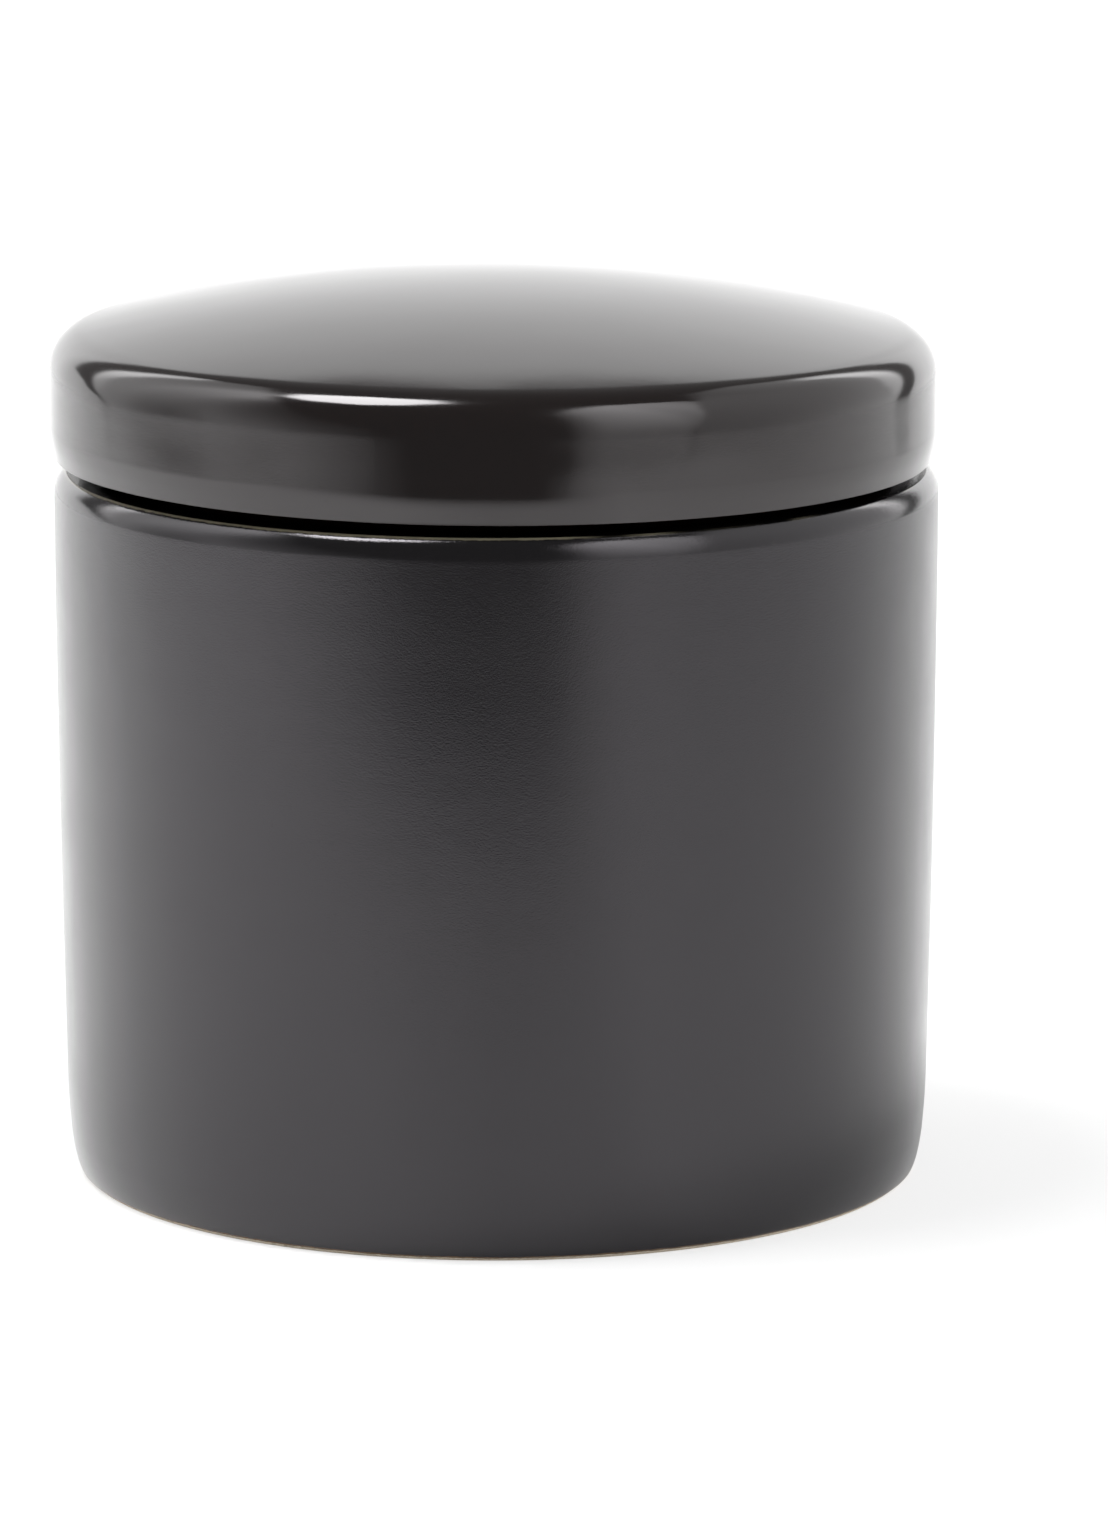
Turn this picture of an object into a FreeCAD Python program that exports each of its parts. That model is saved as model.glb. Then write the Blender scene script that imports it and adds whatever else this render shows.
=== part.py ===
import FreeCAD, Part
import os
import sys

import Sketcher

# Lidded stoneware candle jar. Millimetres, +Z up, origin at the centre of the foot ring's contact plane.
# Every piece is turned about the Z axis, so each sketch is half a section on the XZ plane: x is the
# distance from the axis and y is the height.

SIZES = [
    # jar
    ("jarRadius", 45.0, "outer radius at the shoulder"),
    ("waistRadius", 44.25, "outer radius where the wall starts to curve in to the foot"),
    ("waistHeight", 7.8, "height of that place"),
    ("footRadius", 42.6, "outer radius of the foot ring"),
    ("footWidth", 4.2, "radial width of the foot ring"),
    ("footRecess", 1.2, "how far the base is set up inside the foot ring"),
    ("floorHeight", 5.2, "height of the jar's inner floor"),
    ("rimHeight", 72.2, "height of the rim"),
    ("shoulderRound", 1.9, "round on the rim's outer edge"),
    ("rimRound", 0.8, "round on the rim's inner edge"),
    ("mouthRadius", 40.4, "inner radius at the rim"),
    ("wellRadius", 39.6, "inner radius at the floor"),
    ("wellRound", 4.0, "round between the inner wall and the floor"),
    ("footRound", 0.4, "round on the foot ring's edges"),
    # lid
    ("lidRadius", 45.1, "outer radius of the lid's band"),
    ("lipHeight", 73.8, "height of the lip's underside"),
    ("lipRound", 1.1, "round on the lip's lower edge"),
    ("seatRadius", 42.5, "outer radius of the seat that stands on the rim"),
    ("edgeHeight", 85.85, "height where band and dome would meet sharp"),
    ("edgeRound", 4.1, "round between band and dome"),
    ("domeHeight", 91.8, "height of the dome's top"),
    ("lidWall", 4.5, "wall of the dome and band"),
    ("ledgeHeight", 76.5, "height of the ledge's upper side, inside the lid"),
    ("plugRadius", 38.9, "outer radius of the plug that enters the mouth"),
    ("plugBore", 34.9, "inner radius of the plug"),
    ("plugBottom", 62.0, "height of the plug's lower end"),
    ("plugRound", 1.3, "round on the plug's lower edges"),
    ("hollowRound", 2.0, "rounds inside the lid"),
    # seal
    ("grooveRadius", 37.4, "bottom radius of the seal's groove"),
    ("grooveLow", 64.6, "lower side of the groove"),
    ("grooveHigh", 69.4, "upper side of the groove"),
    ("sealPlay", 0.05, "running clearance between seal and groove"),
    ("sealBack", 38.7, "outer radius of the seal between its fins"),
    ("finRadius", 40.2, "outer radius of the seal's fins"),
    ("finThick", 0.9, "thickness of a fin at its root"),
    ("finTip", 0.5, "thickness of a fin at its tip"),
    ("finInset", 0.5, "distance of the outer fins from the seal's ends"),
    # wax and wick
    ("waxHeight", 56.0, "height of the wax's surface"),
    ("wickRadius", 1.5, "outer radius of the braid"),
    ("coreRadius", 0.6, "radius of the core thread"),
    ("wickTop", 63.0, "height of the trimmed wick"),
    ("stickerRadius", 9.5, "radius of the adhesive dot"),
    ("stickerThick", 0.8, "thickness of the adhesive dot"),
    ("tabRadius", 10.0, "radius of the wick tab's disc"),
    ("tabThick", 0.3, "sheet thickness of the wick tab"),
    ("neckRadius", 1.8, "outer radius of the tab's crimped neck"),
    ("neckHeight", 6.0, "height of the neck above the disc"),
]

doc = FreeCAD.newDocument("candle_jar")


def make_sheet():
    """The driving dimensions, one row each: name, value, meaning."""
    sheet = doc.addObject("Spreadsheet::Sheet", "Sizes")
    for row, (alias, value, note) in enumerate(SIZES, start=1):
        sheet.set("A%d" % row, alias)
        sheet.set("B%d" % row, str(value))
        sheet.set("C%d" % row, note)
        sheet.setAlias("B%d" % row, alias)
    doc.recompute()
    return sheet


sheet = make_sheet()


class Length:
    """A signed sum of sheet cells, as a number now and as an expression for the document."""

    def __init__(self, *names):
        self.value = 0.0
        self.expression = ""
        for name in names:
            sign = "-" if name.startswith("-") else "+"
            alias = name.lstrip("-")
            cell = float(getattr(sheet, alias))
            self.value += -cell if sign == "-" else cell
            self.expression += " %s Sizes.%s" % (sign, alias)
        self.expression = self.expression.strip().lstrip("+ ")


def bind(sketch, index, length):
    sketch.setExpression("Constraints[%d]" % index, length.expression)


def pin_down(sketch, geometry, end, point):
    """Hold one end of a curve at (radius, height); None means on the axis or on the base plane."""
    for kind, length, axis in (("DistanceX", point[0], -2), ("DistanceY", point[1], -1)):
        if length is None:
            sketch.addConstraint(Sketcher.Constraint("PointOnObject", geometry, end, axis))
        else:
            held = Sketcher.Constraint(kind, -1, 1, geometry, end, length.value)
            bind(sketch, sketch.addConstraint(held), length)


def place(point):
    return FreeCAD.Vector(point[0].value if point[0] else 0, point[1].value if point[1] else 0, 0)


def arc_between(centre, first, last):
    """The arc that runs anticlockwise about the centre from the first point to the last."""
    circle = Part.Circle(centre, FreeCAD.Vector(0, 0, 1), first.distanceToPoint(centre))
    return Part.ArcOfCircle(circle, circle.parameter(first), circle.parameter(last))


def dome_centre(rim, apex):
    """Centre, on the axis, of the dome that joins a rim point and the apex."""
    rise = apex.y - rim.y
    radius = (rim.x * rim.x + rise * rise) / (2 * rise)
    return FreeCAD.Vector(0, apex.y - radius, 0)


def flare_centre(foot, waist):
    """Centre, level with the waist, of the curve that leaves the waist upright and ends at the foot."""
    inset = waist.x - foot.x
    drop = waist.y - foot.y
    radius = (inset * inset + drop * drop) / (2 * inset)
    return FreeCAD.Vector(waist.x - radius, waist.y, 0)


def section(body, name, corners, domes=(), flares=()):
    """A closed sketch through the corners. Sides are straight unless their number is in domes or flares.

    Corners run anticlockwise. A dome side ends at its apex on the axis, and a flare side runs up
    from the foot to the waist.
    """
    sketch = body.newObject("Sketcher::SketchObject", name)
    plane = [part for part in body.Origin.OriginFeatures if part.Role == "XZ_Plane"][0]
    sketch.AttachmentSupport = (plane, [""])
    sketch.MapMode = "FlatFace"
    count = len(corners)
    for side in range(count):
        start = place(corners[side])
        end = place(corners[(side + 1) % count])
        if side in domes:
            sketch.addGeometry(arc_between(dome_centre(start, end), start, end), False)
            sketch.addConstraint(Sketcher.Constraint("PointOnObject", side, 3, -2))
        elif side in flares:
            sketch.addGeometry(arc_between(flare_centre(start, end), start, end), False)
            sketch.addConstraint(Sketcher.Constraint("Horizontal", side, 3, side, 2))
        else:
            sketch.addGeometry(Part.LineSegment(start, end), False)
    for side in range(count):
        sketch.addConstraint(Sketcher.Constraint("Coincident", side, 2, (side + 1) % count, 1))
        pin_down(sketch, side, 1, corners[side])
    doc.recompute()
    return sketch


def turn(body, kind, name, sketch):
    """A full turn of the sketch about the Z axis, adding (Revolution) or cutting (Groove)."""
    before = body.Shape.Volume if kind == "Groove" else 0.0
    feature = body.newObject("PartDesign::" + kind, name)
    feature.Profile = sketch
    feature.ReferenceAxis = (sketch, ["V_Axis"])
    feature.Angle = 360
    sketch.Visibility = False
    doc.recompute()
    after = body.Shape.Volume
    if kind == "Groove" and not after < before:
        sys.exit("%s cuts nothing" % name)
    if kind == "Revolution" and not after > before:
        sys.exit("%s adds nothing" % name)
    return feature


def ring_edges(shape, places):
    """Names of the circular edges at the given (radius, height) places."""
    names = []
    for number, edge in enumerate(shape.Edges, start=1):
        if edge.Degenerated or not isinstance(edge.Curve, Part.Circle):
            continue
        for radius, height in places:
            near = abs(edge.Curve.Radius - radius) < 0.05 and abs(edge.Curve.Center.z - height) < 0.05
            if near and "Edge%d" % number not in names:
                names.append("Edge%d" % number)
    return names


def round_off(body, name, radius, places):
    base = body.Tip
    edges = ring_edges(base.Shape, places)
    if len(edges) != len(places):
        sys.exit("%s finds %d of %d edges" % (name, len(edges), len(places)))
    fillet = body.newObject("PartDesign::Fillet", name)
    fillet.Base = (base, edges)
    fillet.Radius = Length(radius).value
    fillet.setExpression("Radius", Length(radius).expression)
    doc.recompute()
    return fillet


def new_body(name):
    body = doc.addObject("PartDesign::Body", name)
    body.Label = name
    return body


def at(*names):
    return Length(*names).value


def make_jar():
    """Slip-cast pot: near-straight wall that curves in to a foot ring, recessed base."""
    jar = new_body("jar")
    outside = section(jar, "jar_outside", [
        (None, None),
        (Length("footRadius"), None),
        (Length("waistRadius"), Length("waistHeight")),
        (Length("jarRadius"), Length("rimHeight")),
        (None, Length("rimHeight")),
    ], flares=(1,))
    turn(jar, "Revolution", "jar_form", outside)
    well = section(jar, "jar_well_section", [
        (None, Length("floorHeight")),
        (Length("wellRadius"), Length("floorHeight")),
        (Length("mouthRadius"), Length("rimHeight")),
        (None, Length("rimHeight")),
    ])
    turn(jar, "Groove", "jar_well", well)
    recess = section(jar, "jar_recess_section", [
        (None, None),
        (Length("footRadius", "-footWidth"), None),
        (Length("footRadius", "-footWidth", "-footRound"), Length("footRecess")),
        (None, Length("footRecess")),
    ])
    turn(jar, "Groove", "jar_base_recess", recess)
    round_off(jar, "jar_shoulder", "shoulderRound", [(at("jarRadius"), at("rimHeight"))])
    round_off(jar, "jar_inner_rim", "rimRound", [(at("mouthRadius"), at("rimHeight"))])
    round_off(jar, "jar_well_corner", "wellRound", [(at("wellRadius"), at("floorHeight"))])
    round_off(jar, "jar_foot_edges", "footRound", [
        (at("footRadius"), 0.0),
        (at("footRadius", "-footWidth"), 0.0),
    ])
    return jar


def make_lid():
    """Hollow-cast lid: low dome, band, seat on the rim, and a plug with a groove for the seal."""
    lid = new_body("lid")
    outside = section(lid, "lid_outside", [
        (None, Length("plugBottom")),
        (Length("plugRadius"), Length("plugBottom")),
        (Length("plugRadius"), Length("rimHeight")),
        (Length("seatRadius"), Length("rimHeight")),
        (Length("seatRadius"), Length("lipHeight")),
        (Length("lidRadius"), Length("lipHeight")),
        (Length("lidRadius"), Length("edgeHeight")),
        (None, Length("domeHeight")),
    ], domes=(6,))
    turn(lid, "Revolution", "lid_form", outside)
    round_off(lid, "lid_edge", "edgeRound", [(at("lidRadius"), at("edgeHeight"))])
    round_off(lid, "lid_lip", "lipRound", [(at("lidRadius"), at("lipHeight"))])
    hollow = section(lid, "lid_hollow_section", [
        (None, Length("plugBottom")),
        (Length("plugBore"), Length("plugBottom")),
        (Length("plugBore"), Length("ledgeHeight")),
        (Length("lidRadius", "-lidWall"), Length("ledgeHeight")),
        (Length("lidRadius", "-lidWall"), Length("edgeHeight", "-lidWall")),
        (None, Length("domeHeight", "-lidWall")),
    ], domes=(4,))
    turn(lid, "Groove", "lid_hollow", hollow)
    groove = section(lid, "lid_groove_section", [
        (Length("grooveRadius"), Length("grooveLow")),
        (Length("jarRadius"), Length("grooveLow")),
        (Length("jarRadius"), Length("grooveHigh")),
        (Length("grooveRadius"), Length("grooveHigh")),
    ])
    turn(lid, "Groove", "lid_seal_groove", groove)
    round_off(lid, "lid_inner_rounds", "hollowRound", [
        (at("plugBore"), at("ledgeHeight")),
        (at("lidRadius", "-lidWall"), at("ledgeHeight")),
        (at("lidRadius", "-lidWall"), at("edgeHeight", "-lidWall")),
    ])
    round_off(lid, "lid_plug_edges", "plugRound", [
        (at("plugBore"), at("plugBottom")),
        (at("plugRadius"), at("plugBottom")),
    ])
    return lid


def make_seal():
    """Silicone ring in the plug's groove, with two fins that wipe the jar's mouth."""
    seal = new_body("lid_seal")
    low = ("grooveLow", "sealPlay")
    high = ("grooveHigh", "-sealPlay")
    back = section(seal, "seal_back_section", [
        (Length("grooveRadius", "sealPlay"), Length(*low)),
        (Length("sealBack"), Length(*low)),
        (Length("sealBack"), Length(*high)),
        (Length("grooveRadius", "sealPlay"), Length(*high)),
    ])
    turn(seal, "Revolution", "seal_back", back)
    lower_fin = section(seal, "seal_lower_fin_section", [
        (Length("grooveRadius", "sealPlay"), Length(*low, "finInset")),
        (Length("finRadius"), Length(*low, "finInset")),
        (Length("finRadius"), Length(*low, "finInset", "finTip")),
        (Length("grooveRadius", "sealPlay"), Length(*low, "finInset", "finThick")),
    ])
    turn(seal, "Revolution", "seal_lower_fin", lower_fin)
    upper_fin = section(seal, "seal_upper_fin_section", [
        (Length("grooveRadius", "sealPlay"), Length(*high, "-finInset", "-finThick")),
        (Length("finRadius"), Length(*high, "-finInset", "-finThick")),
        (Length("finRadius"), Length(*high, "-finInset", "-finThick", "finTip")),
        (Length("grooveRadius", "sealPlay"), Length(*high, "-finInset")),
    ])
    turn(seal, "Revolution", "seal_upper_fin", upper_fin)
    return seal


def make_wax():
    """Poured wax: fills the well up to its surface, around the tab and the wick."""
    wax = new_body("wax")
    tab_low = ("floorHeight", "stickerThick")
    tab_top = ("floorHeight", "stickerThick", "tabThick")
    neck_top = ("floorHeight", "stickerThick", "tabThick", "neckHeight")
    poured = section(wax, "wax_section", [
        (Length("stickerRadius"), Length("floorHeight")),
        (Length("wellRadius"), Length("floorHeight")),
        (Length("mouthRadius"), Length("rimHeight")),
        (Length("wickRadius"), Length("rimHeight")),
        (Length("wickRadius"), Length(*neck_top)),
        (Length("neckRadius"), Length(*neck_top)),
        (Length("neckRadius"), Length(*tab_top)),
        (Length("tabRadius"), Length(*tab_top)),
        (Length("tabRadius"), Length(*tab_low)),
        (Length("stickerRadius"), Length(*tab_low)),
    ])
    turn(wax, "Revolution", "wax_fill", poured)
    above = section(wax, "wax_level_section", [
        (None, Length("waxHeight")),
        (Length("jarRadius"), Length("waxHeight")),
        (Length("jarRadius"), Length("rimHeight")),
        (None, Length("rimHeight")),
    ])
    turn(wax, "Groove", "wax_level", above)
    round_off(wax, "wax_corner", "wellRound", [(at("wellRadius"), at("floorHeight"))])
    return wax


def make_sleeve(name, inner, outer, bottom, top):
    """A plain tube or, with no inner radius, a rod between two heights."""
    body = new_body(name)
    sketch = section(body, name + "_section", [
        (inner, bottom),
        (outer, bottom),
        (outer, top),
        (inner, top),
    ])
    turn(body, "Revolution", name + "_form", sketch)
    return body


def make_tab():
    """Stamped steel disc with a neck crimped round the wick."""
    tab = new_body("wick_tab")
    low = ("floorHeight", "stickerThick")
    stamped = section(tab, "tab_section", [
        (Length("wickRadius"), Length(*low)),
        (Length("tabRadius"), Length(*low)),
        (Length("tabRadius"), Length(*low, "tabThick")),
        (Length("neckRadius"), Length(*low, "tabThick")),
        (Length("neckRadius"), Length(*low, "tabThick", "neckHeight")),
        (Length("wickRadius"), Length(*low, "tabThick", "neckHeight")),
    ])
    turn(tab, "Revolution", "tab_form", stamped)
    return tab


wick_bottom = Length("floorHeight", "stickerThick")
pieces = [
    make_jar(),
    make_lid(),
    make_seal(),
    make_wax(),
    make_sleeve("wick_braid", Length("coreRadius"), Length("wickRadius"), wick_bottom, Length("wickTop")),
    make_sleeve("wick_core", None, Length("coreRadius"), wick_bottom, Length("wickTop")),
    make_tab(),
    make_sleeve("wick_sticker", None, Length("stickerRadius"), Length("floorHeight"), wick_bottom),
]

doc.recompute()
for item in doc.Objects:
    if "Invalid" in item.State or "Error" in item.State:
        sys.exit("%s failed: %s" % (item.Name, item.State))
for piece in pieces:
    if piece.Shape.isNull() or not piece.Shape.isValid() or len(piece.Shape.Solids) != 1:
        sys.exit("%s is not one valid solid" % piece.Label)

os.makedirs("parts", exist_ok=True)
for piece in pieces:
    piece.Shape.exportStep("parts/%s.step" % piece.Label)
    box = piece.Shape.optimalBoundingBox()
    print("%-13s %8.2f cm3  z %.2f to %.2f  radius %.2f" % (
        piece.Label, piece.Shape.Volume / 1000, box.ZMin, box.ZMax, box.XMax))
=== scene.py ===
import math

import bmesh
import bpy
from mathutils import Matrix, Vector


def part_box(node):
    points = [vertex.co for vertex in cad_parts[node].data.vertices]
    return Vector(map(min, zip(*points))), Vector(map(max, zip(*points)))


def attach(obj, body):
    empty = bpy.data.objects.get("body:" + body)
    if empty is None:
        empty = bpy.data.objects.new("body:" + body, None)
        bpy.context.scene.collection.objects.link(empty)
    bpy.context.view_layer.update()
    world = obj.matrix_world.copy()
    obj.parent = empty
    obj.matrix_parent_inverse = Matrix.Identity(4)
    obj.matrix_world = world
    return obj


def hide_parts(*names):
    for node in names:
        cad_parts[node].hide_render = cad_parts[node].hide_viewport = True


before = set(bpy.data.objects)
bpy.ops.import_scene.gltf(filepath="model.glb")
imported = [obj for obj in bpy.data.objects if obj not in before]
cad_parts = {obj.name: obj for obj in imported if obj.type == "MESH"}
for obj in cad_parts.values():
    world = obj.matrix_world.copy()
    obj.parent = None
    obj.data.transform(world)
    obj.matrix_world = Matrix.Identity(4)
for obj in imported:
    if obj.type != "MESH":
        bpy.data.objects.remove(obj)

# Lidded stoneware candle jar. The scene is in metres; lengths in the dictionaries are millimetres
# and angles are degrees. Heights count up from the contact plane of the foot.
mm = 0.001
perMetre = 1000.0                               # noise of scale perMetre / size has patches that wide in mm
deg = math.pi / 180
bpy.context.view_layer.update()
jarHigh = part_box("jar")[1]
lidLow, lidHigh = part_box("lid")
sealLow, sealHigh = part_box("lid_seal")
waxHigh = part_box("wax")[1]
wickLow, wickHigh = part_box("wick_braid")
coreLow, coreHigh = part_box("wick_core")
tabLow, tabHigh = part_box("wick_tab")
stickerLow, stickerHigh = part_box("wick_sticker")


# Node and mesh helpers

def addNode(tree, kind, inputs=None, **settings):
    node = tree.nodes.new(kind)
    for name, value in settings.items():
        setattr(node, name, value)
    for key, value in (inputs or {}).items():
        socket = node.inputs[key]
        if isinstance(value, bpy.types.NodeSocket):
            tree.links.new(value, socket)
        else:
            socket.default_value = value
    return node


def calc(tree, operation, *values):
    return addNode(tree, "ShaderNodeMath", dict(enumerate(values)), operation=operation).outputs[0]


def fade(tree, value, low, high, start=0.0, end=1.0):
    # smooth step from start to end while the value goes from low to high
    inputs = {"Value": value, "From Min": low, "From Max": high, "To Min": start, "To Max": end}
    node = addNode(tree, "ShaderNodeMapRange", inputs, interpolation_type="SMOOTHSTEP")
    return node.outputs["Result"]


def blendColour(tree, factor, first, second):
    # the Mix node's colour sockets are inputs 6 and 7 and output 2
    inputs = {0: factor}
    for index, value in ((6, first), (7, second)):
        inputs[index] = value if isinstance(value, bpy.types.NodeSocket) else (*value, 1)
    return addNode(tree, "ShaderNodeMix", inputs, data_type="RGBA").outputs[2]


def blendValue(tree, factor, first, second):
    return addNode(tree, "ShaderNodeMix", {0: factor, 2: first, 3: second}).outputs[0]


def noiseOf(tree, vector, scale, detail, rough, seed):
    inputs = {"Vector": vector, "W": seed, "Scale": scale, "Detail": detail, "Roughness": rough}
    return addNode(tree, "ShaderNodeTexNoise", inputs, noise_dimensions="4D").outputs[0]


def bumpOf(tree, height, distance, normal=None):
    inputs = {"Height": height, "Distance": distance, "Strength": 1.0}
    if normal is not None:
        inputs["Normal"] = normal
    return addNode(tree, "ShaderNodeBump", inputs).outputs["Normal"]


def newFinish(name):
    material = bpy.data.materials.new(name)
    material.use_nodes = True
    tree = material.node_tree
    tree.nodes.clear()
    shader = addNode(tree, "ShaderNodeBsdfPrincipled")
    addNode(tree, "ShaderNodeOutputMaterial", {"Surface": shader.outputs[0]})
    place = addNode(tree, "ShaderNodeTexCoord").outputs["Object"]
    return material, tree, shader, place


def paint(tree, shader, colour, rough, relief, values=None):
    for name, socket in (("Base Color", colour), ("Roughness", rough), ("Normal", relief)):
        tree.links.new(socket, shader.inputs[name])
    for name, value in (values or {}).items():
        shader.inputs[name].default_value = value


def axisPlace(tree, place):
    # distance from the Z axis and height in millimetres, and the node that splits the place
    split = addNode(tree, "ShaderNodeSeparateXYZ", {0: place})
    flat = addNode(tree, "ShaderNodeCombineXYZ", {0: split.outputs[0], 1: split.outputs[1], 2: 0.0})
    radius = addNode(tree, "ShaderNodeVectorMath", {0: flat.outputs[0]}, operation="LENGTH").outputs["Value"]
    return calc(tree, "MULTIPLY", radius, perMetre), calc(tree, "MULTIPLY", split.outputs[2], perMetre), split


def nearRing(tree, radius, height, ringRadius, ringHeight):
    # distance in millimetres from a circle about the axis
    across = calc(tree, "SUBTRACT", radius, ringRadius)
    up = calc(tree, "SUBTRACT", height, ringHeight)
    squares = calc(tree, "MULTIPLY_ADD", across, across, calc(tree, "MULTIPLY", up, up))
    return calc(tree, "SQRT", squares)


def link(obj):
    bpy.context.scene.collection.objects.link(obj)
    return obj


def setInputs(modifier, values):
    for item in modifier.node_group.interface.items_tree:
        if item.item_type == "SOCKET" and item.in_out == "INPUT" and item.name in values:
            modifier[item.identifier] = values[item.name]


def newTree(name, sockets):
    tree = bpy.data.node_groups.new(name, "GeometryNodeTree")
    for label, kind in sockets:
        tree.interface.new_socket(label, in_out="INPUT", socket_type="NodeSocket" + kind)
    tree.interface.new_socket("Geometry", in_out="OUTPUT", socket_type="NodeSocketGeometry")
    return tree, addNode(tree, "NodeGroupInput").outputs


def endTree(tree, geometry, finish):
    smooth = addNode(tree, "GeometryNodeSetShadeSmooth", {"Geometry": geometry})
    real = addNode(tree, "GeometryNodeRealizeInstances", {"Geometry": smooth.outputs[0]})
    dressed = addNode(tree, "GeometryNodeSetMaterial", {"Geometry": real.outputs[0], "Material": finish})
    addNode(tree, "NodeGroupOutput", {0: dressed.outputs[0]})


def plainPiece(holder, name, finish):
    # the evaluated result as a plain mesh of its own, welded, facing outwards
    weld, sliver = 0.001 * mm, 0.0001 * mm
    graph = bpy.context.evaluated_depsgraph_get()
    mesh = bpy.data.meshes.new_from_object(holder.evaluated_get(graph))
    mesh.name = name
    holderData = holder.data
    bpy.data.objects.remove(holder)
    bpy.data.meshes.remove(holderData)
    soup = bmesh.new()
    soup.from_mesh(mesh)
    bmesh.ops.remove_doubles(soup, verts=soup.verts, dist=weld)
    bmesh.ops.dissolve_degenerate(soup, edges=soup.edges, dist=sliver)
    bmesh.ops.recalc_face_normals(soup, faces=soup.faces)
    soup.to_mesh(mesh)
    soup.free()
    mesh.materials.clear()
    mesh.materials.append(finish)
    mesh.shade_smooth()
    return link(bpy.data.objects.new(name, mesh))


# The profile of a turned piece, as (radius, height) points

def roundCorners(corners, arcSteps):
    # corners are (radius, height) or (radius, height, round); a round becomes an arc
    line = []
    for number, corner in enumerate(corners):
        here = Vector(corner[:2])
        size = corner[2] if len(corner) > 2 else 0.0
        if size == 0.0 or number in (0, len(corners) - 1):
            line.append(tuple(here))
            continue
        back = (Vector(corners[number - 1][:2]) - here).normalized()
        ahead = (Vector(corners[number + 1][:2]) - here).normalized()
        half = back.angle(ahead) / 2
        start = here + back * (size / math.tan(half))
        end = here + ahead * (size / math.tan(half))
        centre = here + (back + ahead).normalized() * (size / math.sin(half))
        first, last = start - centre, end - centre
        for step in range(arcSteps + 1):
            share = step / arcSteps
            spoke = first.lerp(last, share).normalized() * size
            line.append(tuple(centre + spoke))
    return line


def fillIn(line, longest):
    # extra points so that no run is longer than this
    filled = [line[0]]
    for start, end in zip(line, line[1:]):
        run = math.dist(start, end)
        parts = max(1, math.ceil(run / longest))
        for part in range(1, parts + 1):
            share = part / parts
            filled.append(tuple(low + (high - low) * share for low, high in zip(start, end)))
    return filled


# Turning: a profile line swept about the Z axis, with the slight unevenness of hand finishing

turning, turnIn = newTree("turnedForm", (
    ("Profile", "Geometry"), ("Segments", "Int"), ("Unevenness", "Float"),
    ("Patch Size", "Float"), ("Seed", "Float"), ("Finish", "Material"),
))


def buildTurning(tree, given):
    # a grid with a row for each profile point is wrapped round the axis and welded where it meets
    stillRadius, weld = 10 * mm, 0.002 * mm
    size = addNode(tree, "GeometryNodeAttributeDomainSize", {"Geometry": given["Profile"]})
    rows = size.outputs["Point Count"]
    columns = calc(tree, "ADD", given["Segments"], 1.0)
    grid = addNode(tree, "GeometryNodeMeshGrid", {"Vertices X": rows, "Vertices Y": columns})
    index = addNode(tree, "GeometryNodeInputIndex").outputs[0]
    row, column = [addNode(tree, "FunctionNodeIntegerMath", {0: index, 1: columns}, operation=kind).outputs[0]
                   for kind in ("DIVIDE_FLOOR", "MODULO")]
    spot = addNode(tree, "GeometryNodeInputPosition").outputs[0]
    inputs = {"Geometry": given["Profile"], "Value": spot, "Index": row}
    sample = addNode(tree, "GeometryNodeSampleIndex", inputs, data_type="FLOAT_VECTOR")
    split = addNode(tree, "ShaderNodeSeparateXYZ", {0: sample.outputs[0]})
    radius, height = split.outputs[0], split.outputs[2]
    angle = calc(tree, "DIVIDE", calc(tree, "MULTIPLY", column, math.tau), given["Segments"])
    cosine, sine = calc(tree, "COSINE", angle), calc(tree, "SINE", angle)
    even = addNode(tree, "ShaderNodeCombineXYZ", {
        0: calc(tree, "MULTIPLY", cosine, radius), 1: calc(tree, "MULTIPLY", sine, radius), 2: height})
    scale = calc(tree, "DIVIDE", 1.0, given["Patch Size"])
    patch = noiseOf(tree, even.outputs[0], scale, 1.0, 0.4, given["Seed"])
    inwards = fade(tree, radius, 0.0, stillRadius)      # nothing moves at the poles
    push = calc(tree, "MULTIPLY", calc(tree, "SUBTRACT", patch, 0.5), given["Unevenness"])
    radius = calc(tree, "MULTIPLY_ADD", push, inwards, radius)
    turned = addNode(tree, "ShaderNodeCombineXYZ", {
        0: calc(tree, "MULTIPLY", cosine, radius), 1: calc(tree, "MULTIPLY", sine, radius), 2: height})
    inputs = {"Geometry": grid.outputs["Mesh"], "Position": turned.outputs[0]}
    moved = addNode(tree, "GeometryNodeSetPosition", inputs)
    closed = addNode(tree, "GeometryNodeMergeByDistance", {"Geometry": moved.outputs[0], "Distance": weld})
    endTree(tree, closed.outputs[0], given["Finish"])


buildTurning(turning, turnIn)


def turnPiece(name, line, finish, segments, unevenness=0.0, patchSize=25.0, seed=1.0):
    # line: (radius, height) points in millimetres, from pole to pole or round a closed ring
    mesh = bpy.data.meshes.new(name + "Profile")
    points = [(radius * mm, 0, height * mm) for radius, height in line]
    mesh.from_pydata(points, [(number, number + 1) for number in range(len(points) - 1)], [])
    holder = link(bpy.data.objects.new(name + "Profile", mesh))
    modifier = holder.modifiers.new("turning", "NODES")
    modifier.node_group = turning
    setInputs(modifier, {"Segments": segments, "Unevenness": unevenness * mm, "Patch Size": patchSize * mm,
                         "Seed": seed, "Finish": finish})
    return plainPiece(holder, name, finish)


def finished(piece, body, node):
    # stands in for the CAD node, moves with its body
    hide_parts(node)
    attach(piece, body)
    print("made", piece.name, len(piece.data.polygons), "faces")


# Camera

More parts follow.
